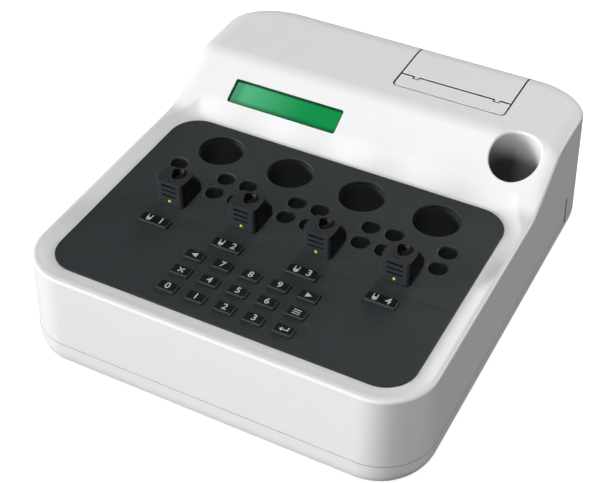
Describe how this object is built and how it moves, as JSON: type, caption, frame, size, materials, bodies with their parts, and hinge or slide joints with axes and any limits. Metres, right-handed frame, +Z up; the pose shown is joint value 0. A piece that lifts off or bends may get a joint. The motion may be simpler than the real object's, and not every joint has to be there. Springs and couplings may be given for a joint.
{
  "type": "coagulation analyzer",
  "caption": "Benchtop coagulation analyzer with measuring heads, reagent wells, keypad, sloped screen and a built-in strip printer under a hinged paper cover.",
  "frame": {"origin": "on the table, under the middle of the footprint", "axes": "+X to the user's right, +Y from the user to the back wall, +Z up"},
  "size_m": [0.265, 0.3086, 0.0915],
  "materials": {
    "housing_plastic": "fine satin white moulded plastic",
    "panel_plastic": "matt dark grey sheet",
    "head_plastic": "satin dark grey moulded plastic",
    "key_plastic": "satin black with white legends",
    "lamp_lens": "clear tinted lens, lit",
    "screen_green": "glossy window over a lit green screen",
    "black_aluminium": "black anodised",
    "heater_film": "amber film",
    "rotor_steel": "plated",
    "circuit_board": "green solder mask",
    "mat_silicone": "matt grey silicone",
    "pin_steel": "ground",
    "platen_rubber": "ground matt rubber",
    "paper": "plain white paper",
    "frame_plastic": "black moulded plastic",
    "socket_plastic": "black moulded plastic",
    "foot_rubber": "matt black rubber"
  },
  "bodies": {
    "housing": {"upper_housing": "housing_plastic", "base_tray": "housing_plastic", "printer_strip": "housing_plastic", "control_panel": "panel_plastic", "incubator_block_left": "black_aluminium", "incubator_block_right": "black_aluminium", "heater_plate": "heater_film", "measuring_head_1": "head_plastic", "measuring_head_2": "head_plastic", "measuring_head_3": "head_plastic", "measuring_head_4": "head_plastic", "head_lamp_1": "lamp_lens", "head_lamp_2": "lamp_lens", "head_lamp_3": "lamp_lens", "head_lamp_4": "lamp_lens", "stirrer_board": "circuit_board", "key_mat": "mat_silicone", "keypad_board": "circuit_board", "display_window": "screen_green", "display_module": "circuit_board", "cover_hinge_pin": "pin_steel", "printer_frame": "frame_plastic", "print_head": "black_aluminium", "main_board": "circuit_board", "power_supply": "circuit_board", "power_inlet": "socket_plastic", "serial_socket": "pin_steel", "card_reader": "frame_plastic", "foot_front_left": "foot_rubber", "foot_front_right": "foot_rubber", "foot_back_left": "foot_rubber", "foot_back_right": "foot_rubber"},
    "cover": {"printer_cover": "housing_plastic"},
    "platen": {"platen_roller": "platen_rubber"},
    "paper": {"paper_roll": "paper"},
    "rocker": {"power_rocker": "socket_plastic"},
    "rotor_1": {"stirrer_rotor_1": "rotor_steel"},
    "rotor_2": {"stirrer_rotor_2": "rotor_steel"},
    "rotor_3": {"stirrer_rotor_3": "rotor_steel"},
    "rotor_4": {"stirrer_rotor_4": "rotor_steel"},
    "button_0": {"key_0": "key_plastic"},
    "button_1": {"key_1": "key_plastic"},
    "button_2": {"key_2": "key_plastic"},
    "button_3": {"key_3": "key_plastic"},
    "button_4": {"key_4": "key_plastic"},
    "button_5": {"key_5": "key_plastic"},
    "button_6": {"key_6": "key_plastic"},
    "button_7": {"key_7": "key_plastic"},
    "button_8": {"key_8": "key_plastic"},
    "button_9": {"key_9": "key_plastic"},
    "button_left": {"key_left": "key_plastic"},
    "button_right": {"key_right": "key_plastic"},
    "button_cancel": {"key_cancel": "key_plastic"},
    "button_mode": {"key_mode": "key_plastic"},
    "button_enter": {"key_enter": "key_plastic"},
    "channel_button_1": {"channel_key_1": "key_plastic"},
    "channel_button_2": {"channel_key_2": "key_plastic"},
    "channel_button_3": {"channel_key_3": "key_plastic"},
    "channel_button_4": {"channel_key_4": "key_plastic"}
  },
  "joints": [
    {"name": "cover_hinge", "type": "hinge", "parent": "housing", "child": "cover", "pos_m": [0.0453, 0.14766, 0.0695], "axis": [-1, 0, 0], "range_deg": [0, 90]},
    {"name": "platen_spin", "type": "hinge", "parent": "cover", "child": "platen", "pos_m": [0.0453, 0.1099, 0.082], "axis": [1, 0, 0], "continuous": true},
    {"name": "paper_spin", "type": "hinge", "parent": "housing", "child": "paper", "pos_m": [0.0453, 0.1272, 0.0633], "axis": [1, 0, 0], "continuous": true},
    {"name": "rocker_tilt", "type": "hinge", "parent": "housing", "child": "rocker", "pos_m": [-0.064, 0.14792, 0.0435], "axis": [1, 0, 0], "range_deg": [-12, 0]},
    {"name": "rotor_1_spin", "type": "hinge", "parent": "housing", "child": "rotor_1", "pos_m": [-0.0762, -0.0503, 0.035], "axis": [0, 0, 1], "continuous": true},
    {"name": "rotor_2_spin", "type": "hinge", "parent": "housing", "child": "rotor_2", "pos_m": [-0.0254, -0.0503, 0.035], "axis": [0, 0, 1], "continuous": true},
    {"name": "rotor_3_spin", "type": "hinge", "parent": "housing", "child": "rotor_3", "pos_m": [0.0254, -0.0503, 0.035], "axis": [0, 0, 1], "continuous": true},
    {"name": "rotor_4_spin", "type": "hinge", "parent": "housing", "child": "rotor_4", "pos_m": [0.0762, -0.0503, 0.035], "axis": [0, 0, 1], "continuous": true},
    {"name": "key_0_press", "type": "slide", "parent": "housing", "child": "button_0", "axis": [0, 0, -1], "range_m": [0, 0.001], "stiffness_N_per_m": 400, "springref_m": -0.0005},
    {"name": "key_1_press", "type": "slide", "parent": "housing", "child": "button_1", "axis": [0, 0, -1], "range_m": [0, 0.001], "stiffness_N_per_m": 400, "springref_m": -0.0005},
    {"name": "key_2_press", "type": "slide", "parent": "housing", "child": "button_2", "axis": [0, 0, -1], "range_m": [0, 0.001], "stiffness_N_per_m": 400, "springref_m": -0.0005},
    {"name": "key_3_press", "type": "slide", "parent": "housing", "child": "button_3", "axis": [0, 0, -1], "range_m": [0, 0.001], "stiffness_N_per_m": 400, "springref_m": -0.0005},
    {"name": "key_4_press", "type": "slide", "parent": "housing", "child": "button_4", "axis": [0, 0, -1], "range_m": [0, 0.001], "stiffness_N_per_m": 400, "springref_m": -0.0005},
    {"name": "key_5_press", "type": "slide", "parent": "housing", "child": "button_5", "axis": [0, 0, -1], "range_m": [0, 0.001], "stiffness_N_per_m": 400, "springref_m": -0.0005},
    {"name": "key_6_press", "type": "slide", "parent": "housing", "child": "button_6", "axis": [0, 0, -1], "range_m": [0, 0.001], "stiffness_N_per_m": 400, "springref_m": -0.0005},
    {"name": "key_7_press", "type": "slide", "parent": "housing", "child": "button_7", "axis": [0, 0, -1], "range_m": [0, 0.001], "stiffness_N_per_m": 400, "springref_m": -0.0005},
    {"name": "key_8_press", "type": "slide", "parent": "housing", "child": "button_8", "axis": [0, 0, -1], "range_m": [0, 0.001], "stiffness_N_per_m": 400, "springref_m": -0.0005},
    {"name": "key_9_press", "type": "slide", "parent": "housing", "child": "button_9", "axis": [0, 0, -1], "range_m": [0, 0.001], "stiffness_N_per_m": 400, "springref_m": -0.0005},
    {"name": "key_left_press", "type": "slide", "parent": "housing", "child": "button_left", "axis": [0, 0, -1], "range_m": [0, 0.001], "stiffness_N_per_m": 400, "springref_m": -0.0005},
    {"name": "key_right_press", "type": "slide", "parent": "housing", "child": "button_right", "axis": [0, 0, -1], "range_m": [0, 0.001], "stiffness_N_per_m": 400, "springref_m": -0.0005},
    {"name": "key_cancel_press", "type": "slide", "parent": "housing", "child": "button_cancel", "axis": [0, 0, -1], "range_m": [0, 0.001], "stiffness_N_per_m": 400, "springref_m": -0.0005},
    {"name": "key_mode_press", "type": "slide", "parent": "housing", "child": "button_mode", "axis": [0, 0, -1], "range_m": [0, 0.001], "stiffness_N_per_m": 400, "springref_m": -0.0005},
    {"name": "key_enter_press", "type": "slide", "parent": "housing", "child": "button_enter", "axis": [0, 0, -1], "range_m": [0, 0.001], "stiffness_N_per_m": 400, "springref_m": -0.0005},
    {"name": "channel_key_1_press", "type": "slide", "parent": "housing", "child": "channel_button_1", "axis": [0, 0, -1], "range_m": [0, 0.001], "stiffness_N_per_m": 400, "springref_m": -0.0005},
    {"name": "channel_key_2_press", "type": "slide", "parent": "housing", "child": "channel_button_2", "axis": [0, 0, -1], "range_m": [0, 0.001], "stiffness_N_per_m": 400, "springref_m": -0.0005},
    {"name": "channel_key_3_press", "type": "slide", "parent": "housing", "child": "channel_button_3", "axis": [0, 0, -1], "range_m": [0, 0.001], "stiffness_N_per_m": 400, "springref_m": -0.0005},
    {"name": "channel_key_4_press", "type": "slide", "parent": "housing", "child": "channel_button_4", "axis": [0, 0, -1], "range_m": [0, 0.001], "stiffness_N_per_m": 400, "springref_m": -0.0005}
  ]
}
